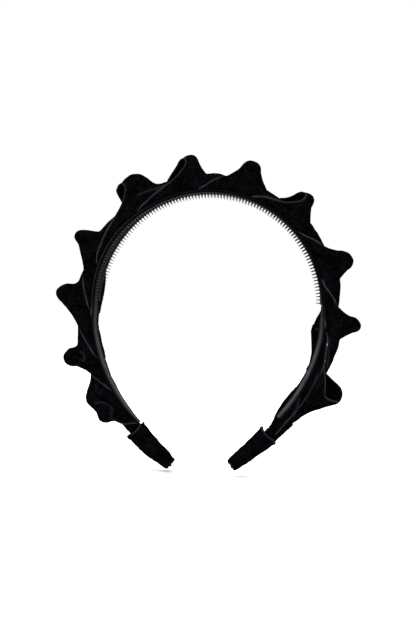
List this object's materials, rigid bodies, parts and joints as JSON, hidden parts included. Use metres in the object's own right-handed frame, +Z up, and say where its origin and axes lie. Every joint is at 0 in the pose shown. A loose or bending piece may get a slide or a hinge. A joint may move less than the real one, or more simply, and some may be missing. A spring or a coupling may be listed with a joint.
{
  "type": "headband",
  "caption": "Springy C-shaped hair band wrapped in black velvet with a row of raised folds, a satin lining, a grip comb inside the crown and velvet end sleeves.",
  "frame": {"origin": "crown of the wearer's head: the middle of the band on the circle that the tips of the comb teeth make, where the band rests", "axes": "+X towards the right end of the band, +Z up through the crown, -Y the front that faces the viewer; the hoop lies in the XZ plane and opens downwards"},
  "size_m": [0.1667, 0.0175, 0.1726],
  "materials": {
    "velvet": "short-pile velvet",
    "lining_satin": "satin ribbon",
    "comb_plastic": "moulded gloss",
    "core_plastic": "matte",
    "thread": "twisted thread"
  },
  "bodies": {
    "crown": {"core_hoop": "core_plastic", "lining_ribbon": "lining_satin", "comb_strip": "comb_plastic", "velvet_turn_05": "velvet", "velvet_turn_06": "velvet", "velvet_turn_07": "velvet", "velvet_turn_08": "velvet"},
    "left_arm": {"velvet_turn_01": "velvet", "velvet_turn_02": "velvet", "velvet_turn_03": "velvet", "velvet_turn_04": "velvet", "left_end_wrap": "velvet", "left_sleeve": "velvet"},
    "right_arm": {"velvet_turn_09": "velvet", "velvet_turn_10": "velvet", "velvet_turn_11": "velvet", "right_end_wrap": "velvet", "right_sleeve": "velvet", "right_tack_upper": "thread", "right_tack_lower": "thread"}
  },
  "joints": [
    {"name": "left_flex", "type": "hinge", "parent": "crown", "child": "left_arm", "pos_m": [-0.05135, 0, -0.01646], "axis": [0, 1, 0], "range_deg": [-4, 14], "stiffness_Nm_per_rad": 1.2, "deforming": ["core_hoop", "lining_ribbon", "comb_strip", "velvet_turn_04", "velvet_turn_05"]},
    {"name": "right_flex", "type": "hinge", "parent": "crown", "child": "right_arm", "pos_m": [0.05717, 0, -0.02457], "axis": [0, -1, 0], "range_deg": [-4, 14], "stiffness_Nm_per_rad": 1.2, "deforming": ["core_hoop", "lining_ribbon", "comb_strip", "velvet_turn_08", "velvet_turn_09"]}
  ]
}
